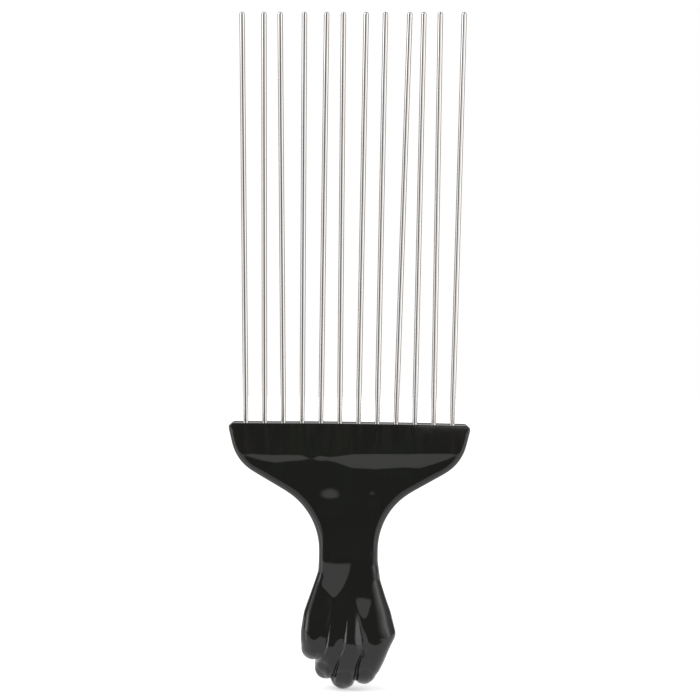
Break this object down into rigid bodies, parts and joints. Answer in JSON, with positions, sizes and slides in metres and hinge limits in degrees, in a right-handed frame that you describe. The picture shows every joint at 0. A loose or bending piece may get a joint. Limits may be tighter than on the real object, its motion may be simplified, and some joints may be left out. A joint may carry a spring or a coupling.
{
  "type": "hair pick",
  "caption": "Hair pick with a row of long straight wire tines in a glossy two-part moulded handle that narrows to a wrist and ends in a closed fist.",
  "frame": {"origin": "under the lowest finger joint of the fist, midway between the front and rear of the handle and midway across its width", "axes": "+Z along the tines towards their tips, +X to the right as seen from the front, -Y out of the front face, which shows the back of the hand"},
  "size_m": [0.0852, 0.0193, 0.2403],
  "materials": {
    "black_plastic": "high gloss moulded, nearly black",
    "tine_steel": "bright nickel-plated drawn wire"
  },
  "bodies": {
    "root": {"front_shell": "black_plastic", "rear_shell": "black_plastic", "tine_01": "tine_steel", "tine_02": "tine_steel", "tine_03": "tine_steel", "tine_04": "tine_steel", "tine_05": "tine_steel", "tine_06": "tine_steel", "tine_07": "tine_steel", "tine_08": "tine_steel", "tine_09": "tine_steel", "tine_10": "tine_steel", "tine_11": "tine_steel", "tine_12": "tine_steel"}
  },
  "joints": []
}
